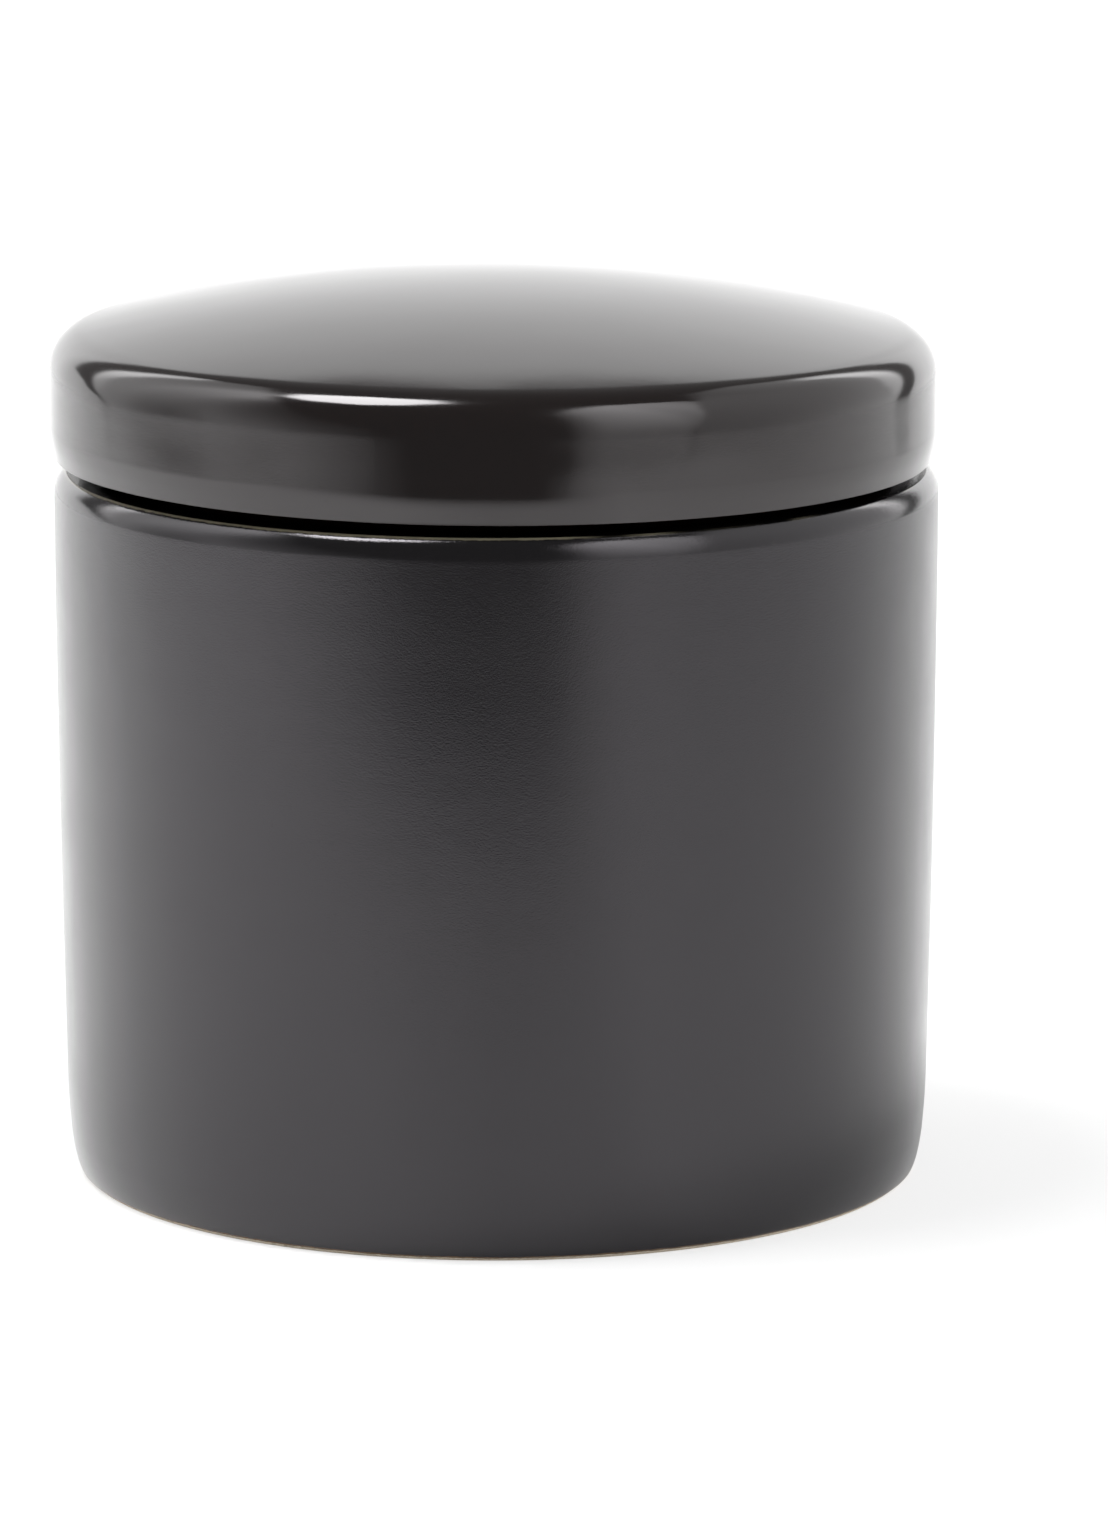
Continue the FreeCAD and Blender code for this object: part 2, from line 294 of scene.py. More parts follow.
cameraSet = {
    "place": (0.0, -907.425, 221.58), "pitchDown": 11.22, "turnRight": 0.37,
    "lens": 212.67, "sensor": 36.0, "clip": 50,
}
cameraData = bpy.data.cameras.new("camera")
cameraData.lens = cameraSet["lens"]
cameraData.sensor_width = cameraSet["sensor"]
cameraData.clip_start = cameraSet["clip"] * mm
camera = link(bpy.data.objects.new("camera", cameraData))
camera.location = [value * mm for value in cameraSet["place"]]
camera.rotation_euler = ((90 - cameraSet["pitchDown"]) * deg, 0, -cameraSet["turnRight"] * deg)
bpy.context.scene.camera = camera
bpy.context.scene.view_settings.view_transform = "Standard"


# Studio: white table, soft white surroundings, bright cards and a soft box. None of it is part of
# the object. Directions are as seen from the object: 0 is towards the front, 90 to the right, 180 behind.

room = {
    "dark": 0.25,                               # what reflections find between the cards
    "backdrop": 1.0,                            # what lies past the table
}
cards = {
    # columns: direction, elevation of the lower and upper edge, brightness at the lower and upper edge;
    # soft: soft edges as shares of width and height; lift: above 1, brightness gathers at the top
    "backdrop": {
        "far": 1.60, "soft": (0.02, 0.05), "lift": 1.0,
        "columns": ((133, -20, -12, 1.5, 1.5), (141, -20, 5, 1.7, 1.9), (147, -20, 16, 1.7, 2.0),
                    (152, -20, 28, 1.6, 2.2), (160, -20, 31, 1.5, 2.0), (168, -20, 34, 1.5, 1.5),
                    (180, -20, 39, 1.5, 1.4), (190, -20, 35, 1.5, 1.3), (199, -20, 34, 1.5, 1.8),
                    (207, -20, 32, 1.7, 2.2), (211, -20, 27, 1.8, 2.1), (218, -20, 13, 1.9, 1.9),
                    (229, -20, 9, 2.0, 2.0), (240, -20, -2, 2.0, 1.9), (248, -20, -12, 2.0, 1.9)),
    },
    "leftPanel": {
        "far": 1.50, "soft": (0.02, 0.06), "lift": 2.0,
        "columns": ((-148, 42, 52, 1.2, 0.6), (-140, 34, 58, 1.6, 1.0), (-130, 18, 60, 1.5, 1.4),
                    (-120, 1, 62, 1.7, 2.0), (-110, -20, 62, 1.4, 3.4), (-100, -20, 62, 0.9, 4.0),
                    (-90, -20, 58, 0.7, 3.9), (-78, -20, 54, 1.3, 1.5)),
    },
    "leftFringe": {
        "far": 1.52, "soft": (0.02, 0.06), "lift": 0.6,
        "columns": ((-80, -20, 56, 1.6, 1.4), (-72, -20, 50, 2.1, 0.7), (-66, -20, 46, 2.0, 0.45),
                    (-58, -20, 38, 1.8, 0.32), (-50, -20, 28, 1.3, 0.3), (-40, -20, 16, 0.9, 0.27),
                    (-30, -20, 6, 0.5, 0.25)),
    },
    "leftStreak": {
        "far": 1.40, "soft": (0.05, 0.16), "lift": 1.0,
        "columns": ((-151, 43, 48, 1.5, 1.5), (-146, 41, 48, 4.0, 4.0), (-141, 37, 47, 5.5, 4.5),
                    (-136, 29, 43, 5.5, 5.0), (-130, 18, 37, 3.2, 5.5), (-124, 9, 26, 2.0, 2.6),
                    (-118, 0, 12, 1.9, 1.9)),
    },
    "rightPanel": {
        "far": 1.50, "soft": (0.02, 0.05), "lift": 1.0,
        "columns": ((155, 41, 48, 1.0, 0.6), (148, 35, 54, 1.6, 0.9), (142, 28, 58, 1.7, 0.9),
                    (136, 15, 61, 1.8, 0.9), (130, 2, 63, 1.9, 0.9), (124, -20, 65, 2.0, 0.9),
                    (112, -20, 65, 1.8, 0.95), (100, -20, 64, 1.65, 1.1), (85, -20, 60, 1.3, 1.25),
                    (72, -20, 54, 1.05, 1.3), (50, -20, 47, 0.95, 1.2)),
    },
    "rightStreak": {
        "far": 1.40, "soft": (0.05, 0.16), "lift": 1.0,
        "columns": ((152, 39, 44, 2.5, 2.0), (147, 36, 45, 4.5, 3.5), (142, 30, 45, 5.5, 5.0),
                    (136, 18, 37, 3.8, 5.5), (131, 5, 28, 2.4, 3.4), (123, -8, 14, 2.0, 2.2)),
    },
    "frontRight": {
        "far": 1.45, "soft": (0.03, 0.06), "lift": 1.1,
        "columns": ((18, -20, 48, 0.3, 0.3), (22, -20, 54, 0.8, 1.2), (28, -20, 62, 0.9, 3.2),
                    (40, -20, 68, 0.8, 4.4), (48, -20, 70, 0.8, 4.7), (54, 12, 70, 1.4, 4.4),
                    (58, 27, 69, 2.2, 4.1), (64, 42, 67, 2.8, 3.9), (72, 51, 65, 2.6, 3.4),
                    (82, 57, 61, 1.6, 1.8)),
    },
}
cardSet = {"middle": (0, 0, 50), "rows": 16}   # centre of the spheres that the cards lie on
overhead = {"place": (-350, -35, 1080), "radius": 275, "sides": 8, "light": 17.0, "soft": 0.2}
tableSet = {
    "size": 8000,
    "shade": 0.36, "glow": 0.63,                # to the camera: pale, with a weak shadow
    "diffuse": 0.8,                             # to the soft light that it sends back
    # reflections see it brighter or darker by direction, as (direction, brightness)
    "mirrored": ((-180, 0.9), (-140, 1.1), (-110, 1.24), (-65, 1.28), (-25, 1.22), (0, 1.0), (20, 1.02),
                 (32, 1.17), (50, 1.12), (90, 1.0), (130, 1.05), (180, 0.93)),
    # and lose sight of it between these distances; frontPart says which directions are in front
    "frontEnd": (160, 390), "otherEnd": (420, 700),
    "frontPart": ((-180, 0), (-68, 0), (-20, 1), (12, 1), (30, 0), (180, 0)),
}


def ringRamp(tree, turn, levels):
    # a level that changes with direction
    full = max(level for angle, level in levels)
    ramp = addNode(tree, "ShaderNodeValToRGB", {0: calc(tree, "MULTIPLY_ADD", turn, 1 / math.tau, 0.5)})
    stops = ramp.color_ramp.elements
    while len(stops) < len(levels):
        stops.new(0.5)
    for stop, (angle, level) in zip(stops, levels):
        stop.position = angle / 360 + 0.5
        stop.color = (*[level / full] * 3, 1)
    return calc(tree, "MULTIPLY", ramp.outputs[0], full)


def turnOf(tree, split):
    # direction from the object, 0 towards the front
    return calc(tree, "ARCTAN2", split.outputs[0], calc(tree, "MULTIPLY", split.outputs[1], -1.0))


def emptyFinish(name):
    material = bpy.data.materials.new(name)
    material.use_nodes = True
    material.node_tree.nodes.clear()
    return material, material.node_tree


def buildRoom():
    world = bpy.data.worlds.new("studio")
    bpy.context.scene.world = world
    world.use_nodes = True
    tree = world.node_tree
    tree.nodes.clear()
    seen = addNode(tree, "ShaderNodeBackground", {"Color": (1, 1, 1, 1), "Strength": room["backdrop"]})
    lit = addNode(tree, "ShaderNodeBackground", {"Color": (1, 1, 1, 1), "Strength": room["dark"]})
    direct = addNode(tree, "ShaderNodeLightPath").outputs["Is Camera Ray"]
    both = addNode(tree, "ShaderNodeMixShader", {0: direct, 1: lit.outputs[0], 2: seen.outputs[0]})
    addNode(tree, "ShaderNodeOutputWorld", {"Surface": both.outputs[0]})


def stageLight(name, spots, faces, spread, level):
    # a glowing card that the camera doesn't see and that casts no shadow; spread: UV of each spot
    mesh = bpy.data.meshes.new(name)
    mesh.from_pydata(spots, [], faces)
    layer = mesh.uv_layers.new(name="spread")
    for loop in mesh.loops:
        layer.data[loop.index].uv = spread[loop.vertex_index]
    mesh.attributes.new("light", "FLOAT", "POINT").data.foreach_set("value", level)
    card = link(bpy.data.objects.new(name, mesh))
    card.visible_camera = card.visible_shadow = False
    material, tree = emptyFinish(name + "Glow")
    mesh.materials.append(material)
    split = addNode(tree, "ShaderNodeSeparateXYZ", {0: addNode(tree, "ShaderNodeTexCoord").outputs["UV"]})
    light = addNode(tree, "ShaderNodeAttribute", attribute_name="light").outputs["Fac"]
    return tree, split.outputs[:2], light


def endLight(tree, level, share):
    # share: how much of the card is there, against the room behind it
    glow = addNode(tree, "ShaderNodeEmission", {"Strength": level})
    clear = addNode(tree, "ShaderNodeBsdfTransparent")
    both = addNode(tree, "ShaderNodeMixShader", {0: share, 1: clear.outputs[0], 2: glow.outputs[0]})
    addNode(tree, "ShaderNodeOutputMaterial", {"Surface": both.outputs[0]})


def buildCards():
    # each card is a patch of a sphere round the object
    middle, up = Vector(cardSet["middle"]) * mm, cardSet["rows"]
    for name, card in cards.items():
        spots, faces, spread, levels = [], [], [], []
        columns = card["columns"]
        first, last = columns[0][0], columns[-1][0]
        for turn, low, high, lightLow, lightHigh in columns:
            for row in range(up + 1):
                share = row / up
                rise = (low + (high - low) * share) * deg
                flat = math.cos(rise)
                out = Vector((math.sin(turn * deg) * flat, -math.cos(turn * deg) * flat, math.sin(rise)))
                spots.append(middle + out * card["far"])
                spread.append(((turn - first) / (last - first), share))
                levels.append(lightLow + (lightHigh - lightLow) * share ** card["lift"])
        for column in range(len(columns) - 1):
            for row in range(up):
                corner = column * (up + 1) + row
                faces.append((corner, corner + up + 1, corner + up + 2, corner + 1))
        tree, shares, level = stageLight(name, spots, faces, spread, levels)
        edges = []
        for share, soft in zip(shares, card["soft"]):
            edge = calc(tree, "ABSOLUTE", calc(tree, "SUBTRACT", share, 0.5))
            edges.append(fade(tree, edge, 0.5 - soft, 0.5, 1.0, 0.0))
        endLight(tree, level, calc(tree, "MULTIPLY", *edges))


def buildOverhead():
    # soft box, facing down
    spots, sides = [Vector(overhead["place"]) * mm], overhead["sides"]
    for side in range(sides):
        turn = (side + 0.5) / sides * math.tau
        arm = Vector((math.cos(turn), math.sin(turn), 0)) * overhead["radius"] * mm
        spots.append(spots[0] + arm)
    faces = [(0, side + 1, (side + 1) % sides + 1) for side in range(sides)]
    spread = [(0, 0)] + [(1, 0)] * sides
    tree, shares, level = stageLight("overhead", spots, faces, spread, [overhead["light"]] * (sides + 1))
    endLight(tree, level, fade(tree, shares[0], 1.0, 1.0 - overhead["soft"]))


def buildTable():
    material, tree = emptyFinish("whiteTable")
    place = addNode(tree, "ShaderNodeTexCoord").outputs["Object"]
    split = addNode(tree, "ShaderNodeSeparateXYZ", {0: place})
    path = addNode(tree, "ShaderNodeLightPath")
    soft = addNode(tree, "ShaderNodeBsdfDiffuse", {"Color": (*[tableSet["shade"]] * 3, 1)})
    glow = addNode(tree, "ShaderNodeEmission", {"Strength": tableSet["glow"]})
    seen = addNode(tree, "ShaderNodeAddShader", {0: soft.outputs[0], 1: glow.outputs[0]})
    white = addNode(tree, "ShaderNodeBsdfDiffuse", {"Color": (*[tableSet["diffuse"]] * 3, 1)})
    around = ringRamp(tree, turnOf(tree, split), tableSet["mirrored"])
    mirrored = addNode(tree, "ShaderNodeBsdfDiffuse", {"Color": around})
    forward = calc(tree, "MULTIPLY", split.outputs[1], -1.0)
    nearEnd, farEnd = [value * mm for value in tableSet["frontEnd"]]
    gone = fade(tree, forward, nearEnd, farEnd)
    gone = calc(tree, "MULTIPLY", gone, ringRamp(tree, turnOf(tree, split), tableSet["frontPart"]))
    away = addNode(tree, "ShaderNodeVectorMath", {0: place}, operation="LENGTH").outputs["Value"]
    nearEnd, farEnd = [value * mm for value in tableSet["otherEnd"]]
    gone = calc(tree, "MAXIMUM", gone, fade(tree, away, nearEnd, farEnd))
    clear = addNode(tree, "ShaderNodeBsdfTransparent")
    mirror = addNode(tree, "ShaderNodeMixShader", {0: gone, 1: mirrored.outputs[0], 2: clear.outputs[0]})
    inputs = {0: path.outputs["Is Glossy Ray"], 1: white.outputs[0], 2: mirror.outputs[0]}
    other = addNode(tree, "ShaderNodeMixShader", inputs)
    inputs = {0: path.outputs["Is Camera Ray"], 1: other.outputs[0], 2: seen.outputs[0]}
    looks = addNode(tree, "ShaderNodeMixShader", inputs)
    addNode(tree, "ShaderNodeOutputMaterial", {"Surface": looks.outputs[0]})
    half = tableSet["size"] * mm / 2
    mesh = bpy.data.meshes.new("table")
    corners = [(-half, -half, 0), (half, -half, 0), (half, half, 0), (-half, half, 0)]
    mesh.from_pydata(corners, [], [(0, 1, 2, 3)])
    mesh.materials.append(material)
    link(bpy.data.objects.new("table", mesh))


buildRoom()
buildTable()
buildCards()
buildOverhead()
print("studio ready:", len(cards) + 1, "lights")


# Glaze, the same on jar and lid apart from each one's own look. Sizes are in millimetres.

glazeSet = {
    "raggedSize": 0.7, "driftSize": 9.0,        # small and large waver of the glaze's edges
    "speckSpacing": 2.6, "speckEdge": (0.10, 0.05), "speckAmount": 0.35, "clayGrain": 0.35,
    "thinCore": 0.35, "thinPaintedLightSides": (0.30, 0.62),
    "endWidth": 0.05, "brownWidth": 0.28, "brownAmount": 0.7,
    "grainSize": 0.16, "clayRough": 0.82, "clayBump": 0.03, "claySpeck": (0.18, 0.10, 0.05),
}


def glazeFinish(name, look):
    # black glaze with a fine orange peel; it breaks to an olive line on an edge and ends on bare clay. On the
    # jar that olive line also carries painted light: it is painted stronger on the left, where the light
    # falls, and fades out on the right
    material, tree, shader, place = newFinish(name)
    radius, height, split = axisPlace(tree, place)
    seed = look["seed"]
    peel = noiseOf(tree, place, perMetre / look["peelSize"], 2.0, 0.55, seed)
    pool = noiseOf(tree, place, perMetre / look["poolSize"], 2.0, 0.5, seed + 1)
    cloud = noiseOf(tree, place, perMetre / look["cloudSize"], 3.0, 0.6, seed + 2)
    ragged = noiseOf(tree, place, perMetre / glazeSet["raggedSize"], 3.0, 0.6, seed + 3)
    drift = noiseOf(tree, place, perMetre / glazeSet["driftSize"], 1.0, 0.5, seed + 4)
    inputs = {"Vector": place, "Scale": perMetre / glazeSet["speckSpacing"]}
    dust = addNode(tree, "ShaderNodeTexVoronoi", inputs).outputs["Distance"]
    speck = fade(tree, dust, *glazeSet["speckEdge"])

    glaze = blendColour(tree, cloud, look["dark"], look["light"])
    glaze = blendColour(tree, calc(tree, "MULTIPLY", speck, glazeSet["speckAmount"]), glaze, look["speck"])

    # where the glaze runs thin over an edge, a real olive line; the side weight adds painted light, so the
    # line is painted stronger on the side where the light falls
    away = nearRing(tree, radius, height, *look["thinRing"])
    away = calc(tree, "MULTIPLY_ADD", calc(tree, "SUBTRACT", ragged, 0.5), look["thinRagged"], away)
    # painted light: by the x coordinate, the line is painted strong on the left side, where the light falls,
    # and fades out on the right
    side = calc(tree, "MULTIPLY_ADD", split.outputs[0], look["thinPaintedLightSide"], drift)
    core = look["thinWidth"] * glazeSet["thinCore"]
    along = fade(tree, side, *glazeSet["thinPaintedLightSides"])
    thin = calc(tree, "MULTIPLY", fade(tree, away, look["thinWidth"], core), along)
    glaze = blendColour(tree, calc(tree, "MULTIPLY", thin, look["thinAmount"]), glaze, look["thinColour"])

    # the ragged end of the glaze, brown before it stops
    edge = calc(tree, "MULTIPLY_ADD", calc(tree, "SUBTRACT", ragged, 0.5), look["endRagged"], height)
    edge = calc(tree, "MULTIPLY_ADD", calc(tree, "SUBTRACT", drift, 0.5), look["endDrift"], edge)
    end, width = look["endHeight"], glazeSet["endWidth"]
    bare = fade(tree, edge, end + width, end - width)
    brown = fade(tree, edge, end + glazeSet["brownWidth"], end + width)
    if "basin" in look:                         # the underside inside the foot is bare too
        basinRadius, basinHeight = look["basin"]
        under = calc(tree, "MULTIPLY", fade(tree, radius, basinRadius + 0.3, basinRadius),
                     fade(tree, height, basinHeight + 0.5, basinHeight))
        bare = calc(tree, "MAXIMUM", bare, under)
    grain = noiseOf(tree, place, perMetre / glazeSet["clayGrain"], 4.0, 0.65, seed + 5)
    clay = blendColour(tree, fade(tree, grain, 0.35, 0.7), look["clay"], look["clayDark"])
    clay = blendColour(tree, calc(tree, "MULTIPLY", speck, 0.5), clay, glazeSet["claySpeck"])
    brown = calc(tree, "MULTIPLY", brown, glazeSet["brownAmount"])
    glaze = blendColour(tree, brown, glaze, look["endColour"])

    gloss = fade(tree, cloud, 0.25, 0.75, *look["rough"])
    if "glossy" in look:                        # the glaze is shinier where it rounds over the rim
        low, high, least = look["glossy"]
        gloss = blendValue(tree, fade(tree, height, low, high), gloss, least)

    # long soft marks that run round the piece
    wide, tall = look["streakSize"]
    inputs = {"Vector": place, "Scale": (perMetre / wide, perMetre / wide, perMetre / tall)}
    stretch = addNode(tree, "ShaderNodeMapping", inputs).outputs[0]
    streaks = noiseOf(tree, stretch, 1.0, 0.5, 0.5, seed + 7)
    fine = noiseOf(tree, place, perMetre / glazeSet["grainSize"], 1.0, 0.5, seed + 6)
    skin = None
    for relief, layer in ((streaks, "streak"), (pool, "pool"), (peel, "peel"), (fine, "grain")):
        skin = bumpOf(tree, relief, look[layer + "Height"] * mm, skin)      # each lies on the one before
    skin = bumpOf(tree, calc(tree, "MULTIPLY", grain, bare), glazeSet["clayBump"] * mm, skin)
    rough = blendValue(tree, bare, gloss, glazeSet["clayRough"])
    values = {"IOR": look["ior"], "Specular Tint": (*look["tint"], 1)}
    paint(tree, shader, blendColour(tree, bare, glaze, clay), rough, skin, values)
    return material


# Jar

jarSet = {
    "height": jarHigh[2] / mm + 0.40, "radius": jarHigh[0] / mm,
    "footRadius": 42.6, "footInner": 38.4, "recess": 1.2, "footRound": 0.3,
    "flareHeight": 11.59, "flareIn": 1.65,      # the wall curves in to the foot over this height, this much
    "taper": 0.75, "belly": 0.6,                # the wall is this much wider at the shoulder, and bows out
    "shoulder": ((30, 2.4), (52, 3.2), (90, 0.25)),     # lean reached and radius of each arc, wall first
    "glazeEnd": 0.42, "glazeThick": 0.10,
    "mouth": 40.4, "rimRound": 0.8, "wellRadius": 39.6, "wellRound": 4.0, "floor": 5.2, "floorCrown": 0.25,
    "fineStep": (3, 0.12), "step": 0.5,         # spacing of the wall's points, finer near the foot
    "easeZone": (4, 30), "ease": 5,             # the flare meets the wall softly here
    "segments": 288, "unevenness": 0.10, "patchSize": 30.0, "seed": 5.0,
}
jarLook = {
    "dark": (0.0012, 0.0012, 0.0013), "light": (0.0022, 0.0021, 0.0021), "speck": (0.020, 0.017, 0.014),
    "rough": (0.19, 0.25), "ior": 1.49, "tint": (1.0, 0.955, 1.015), "glossy": (70.0, 71.6, 0.09),
    "peelSize": 0.9, "peelHeight": 0.0045, "poolSize": 14.0, "poolHeight": 0.02, "cloudSize": 16.0,
    "grainHeight": 0.010, "streakSize": (40.0, 8.0), "streakHeight": 0.05,
    # painted light: the negative side weight paints the thin olive line stronger on the left, where the light
    # falls
    "thinRing": (43.80, 72.55), "thinWidth": 0.32, "thinRagged": 0.4, "thinPaintedLightSide": -5.0, "thinAmount": 0.9,
    "thinColour": (0.17, 0.155, 0.11),
    "endHeight": 0.32, "endRagged": 0.22, "endDrift": 0.25, "endColour": (0.20, 0.115, 0.045),
    "basin": (38.6, 1.3),
    "clay": (0.70, 0.63, 0.52), "clayDark": (0.55, 0.47, 0.36), "seed": 3.0,
}


def jarOutside():
    # glazed wall from the end of the glaze up to the rim
    top = jarSet["height"]
    shoulder, lean, across, up, steps = [(0.0, 0.0)], 0.0, 0.0, 0.0, 8
    for reach, bend in jarSet["shoulder"]:
        for step in range(1, steps + 1):
            turn = (lean + (reach - lean) * step / steps) * deg
            shoulder.append((across + bend * (math.cos(lean * deg) - math.cos(turn)),
                             up + bend * (math.sin(turn) - math.sin(lean * deg))))
        lean = reach
        across, up = shoulder[-1]
    wallTop = top - up
    wallFoot = jarSet["flareHeight"]
    waist = jarSet["radius"] - jarSet["taper"]
    line = []
    height = jarSet["glazeEnd"]
    fineHeight, fineStep = jarSet["fineStep"]
    while height < wallTop:
        share = max(0.0, (height - wallFoot) / (wallTop - wallFoot))
        turn = 1 - min(1.0, height / wallFoot)
        flare = jarSet["flareIn"] * (1 - math.sqrt(1 - turn * turn))
        radius = waist - flare + jarSet["taper"] * share + jarSet["belly"] * share * (1 - share)
        line.append([radius, height])
        height += fineStep if height < fineHeight else jarSet["step"]
    radii, ease = [point[0] for point in line], jarSet["ease"]
    for number, point in enumerate(line):
        if jarSet["easeZone"][0] < point[1] < jarSet["easeZone"][1]:
            near = radii[number - ease:number + ease + 1]
            point[0] = sum(near) / len(near)
    line += [[jarSet["radius"] - across, wallTop + up] for across, up in shoulder]
    return [tuple(point) for point in line]


def makeJar():
    foot, inner = jarSet["footRadius"], jarSet["footInner"]
    end, thick = jarSet["glazeEnd"], jarSet["glazeThick"]
    outside = jarOutside()
    startRadius = outside[0][0]
    bottom = roundCorners([
        (0, jarSet["recess"]), (inner - 0.8, jarSet["recess"], 0.5), (inner, 0, 0.4),
        (foot - thick, 0, jarSet["footRound"]), (startRadius - thick, end - 0.02, 0.05),
        (startRadius, end),
    ], 6)
    rim = roundCorners([
        outside[-1], (jarSet["mouth"], jarSet["height"], jarSet["rimRound"]),
        (jarSet["wellRadius"], jarSet["floor"], jarSet["wellRound"]), (20, jarSet["floor"]),
        (0, jarSet["floor"] + jarSet["floorCrown"]),
    ], 14)
    line = fillIn(bottom, 2.0) + outside[1:] + fillIn(rim, 1.5)[1:]
    finish = glazeFinish("satinBlackGlaze", jarLook)
    shape = [jarSet[key] for key in ("segments", "unevenness", "patchSize", "seed")]
    jar = turnPiece("jar_pot", line, finish, *shape)
    finished(jar, "jar", "jar")


makeJar()


# Lid

lidSet = {
    "top": lidHigh[2] / mm, "radius": lidHigh[0] / mm, "wall": 4.5,
    "bandTop": 82.67, "edgeRound": 4.12,
    "lip": 73.85, "lipIn": 0.40, "lipUp": 2.15, "lipRound": 0.12,
    "seatRadius": 41.7, "lipInner": 43.4, "seat": jarHigh[2] / mm + 0.55,
    "ceiling": 83.2, "hollowTop": (82.2, 1.6), "ledge": 76.5, "hollowRound": 2.0,
    "plugBore": 34.9, "plug": 38.9, "plugBottom": lidLow[2] / mm, "plugRound": 1.3,
    "groove": (37.4, 64.6, 69.4),               # radius, lower and upper edge
    "shift": (-0.38, 0.5, 0), "tilt": 0.30,     # sits a little off centre, its left side up
    "edgeSteps": 40, "domeSteps": 60, "easedDome": 16, "easeStep": 0.22, "easeReach": 4,
    "segments": 288, "unevenness": 0.30, "patchSize": 15.0, "seed": 9.0,
}
lidLook = {
    "dark": (0.0030, 0.0015, 0.0012), "light": (0.0042, 0.0023, 0.0018), "speck": (0.020, 0.017, 0.014),
    "rough": (0.085, 0.125), "ior": 1.53, "tint": (1.0, 0.968, 0.985),
    "peelSize": 1.3, "peelHeight": 0.0022, "poolSize": 16.0, "poolHeight": 0.02, "cloudSize": 20.0,
    "grainHeight": 0.002, "streakSize": (26.0, 7.0), "streakHeight": 0.14,
    "thinRing": (44.6, 73.9), "thinWidth": 0.30, "thinRagged": 0.3, "thinPaintedLightSide": 0.0, "thinAmount": 0.12,
    "thinColour": (0.10, 0.09, 0.06),
    "endHeight": 63.0, "endRagged": 0.5, "endDrift": 0.6, "endColour": (0.10, 0.055, 0.028),
    "clay": (0.70, 0.63, 0.52), "clayDark": (0.55, 0.47, 0.36), "seed": 11.0,
}


def domeLine(edgeRadius, edgeHeight, top, steps):
    # from the edge up to the top, on a sphere about a point of the axis
    rise = top - edgeHeight
    sphere = (edgeRadius * edgeRadius + rise * rise) / (2 * rise)
    line = []
    for step in range(steps + 1):
        radius = edgeRadius * (1 - step / steps)
        line.append((radius, top - sphere + math.sqrt(sphere * sphere - radius * radius)))
    return line


def easeLine(line, step, reach):
    # even steps, then each point moves to the mean of its neighbours, which softens the changes of bend
    even = fillIn(line, step)
    eased = []
    for number, point in enumerate(even):
        near = min(reach, number, len(even) - 1 - number)
        some = even[number - near:number + near + 1]
        eased.append((sum(spot[0] for spot in some) / len(some), sum(spot[1] for spot in some) / len(some)))
    return eased


def lidOutside():
    # lip, band, rounded edge and dome; the edge's round runs on into the dome
    radius, bend = lidSet["radius"], lidSet["edgeRound"]
    top, bandTop = lidSet["top"], lidSet["bandTop"]
    centre = radius - bend
    # the dome's sphere touches the edge's round where their spokes line up, found by halving
    low, high = 0.0, 60 * deg
    for halving in range(60):
        lean = (low + high) / 2
        edgeRadius = centre + bend * math.sin(lean)
        edgeHeight = bandTop + bend * math.cos(lean)
        rise = top - edgeHeight
        sphere = (edgeRadius * edgeRadius + rise * rise) / (2 * rise)
        if math.asin(edgeRadius / sphere) > lean:
            low = lean
        else:
            high = lean
    # crisp lower edge, leaning in a little above it
    lip = lidSet["lip"]
    line = [(radius - lidSet["lipIn"], lip + lidSet["lipRound"]), (radius, lip + lidSet["lipUp"])]
    steps = lidSet["edgeSteps"]
    for step in range(steps + 1):
        turn = 90 * deg - step / steps * (90 * deg - lean)
        line.append((centre + bend * math.sin(turn), bandTop + bend * math.cos(turn)))
    dome, eased = domeLine(*line[-1], top, lidSet["domeSteps"]), lidSet["easedDome"]
    return easeLine(line + dome[1:eased], lidSet["easeStep"], lidSet["easeReach"]) + dome[eased:]


def makeLid():
    wall, radius = lidSet["wall"], lidSet["radius"]
    hollow = radius - wall
    grooveRadius, grooveLow, grooveHigh = lidSet["groove"]
    plug, bottom, seat = lidSet["plug"], lidSet["plugBottom"], lidSet["seat"]
    outside = lidOutside()
    ceiling = domeLine(hollow - lidSet["hollowRound"], lidSet["ceiling"], lidSet["top"] - wall, 40)[::-1]
    inside = roundCorners([
        ceiling[-1], (hollow, *lidSet["hollowTop"]), (hollow, lidSet["ledge"], lidSet["hollowRound"]),
        (lidSet["plugBore"], lidSet["ledge"], lidSet["hollowRound"]),
        (lidSet["plugBore"], bottom, lidSet["plugRound"]), (plug, bottom, lidSet["plugRound"]),
        (plug, grooveLow, 0.25), (grooveRadius, grooveLow, 0.3), (grooveRadius, grooveHigh, 0.3),
        (plug, grooveHigh, 0.25), (plug, seat, 0.5), (lidSet["seatRadius"], seat, 0.4),
        (lidSet["lipInner"], lidSet["lip"], 0.4), (outside[0][0], lidSet["lip"], 0.1),
        outside[0],
    ], 8)
    line = ceiling[:-1] + fillIn(inside, 1.5) + outside[1:]
    finish = glazeFinish("glossBlackGlaze", lidLook)
    shape = [lidSet[key] for key in ("segments", "unevenness", "patchSize", "seed")]
    lid = turnPiece("lid_dome", line, finish, *shape)
    pivot = Vector((0, 0, lidSet["lip"] * mm))
    sit = Matrix.Translation(pivot + Vector(lidSet["shift"]) * mm)
    sit = sit @ Matrix.Rotation(lidSet["tilt"] * deg, 4, "Y") @ Matrix.Translation(-pivot)
    lid.data.transform(sit)
    finished(lid, "lid", "lid")


makeLid()


# Seal

sealSet = {
    "inner": 37.45, "back": 38.7, "low": sealLow[2] / mm, "high": sealHigh[2] / mm, "fin": 40.15,
    "root": 0.9, "tip": 0.5, "inset": 0.5, "round": 0.2, "rise": 0.15,
}


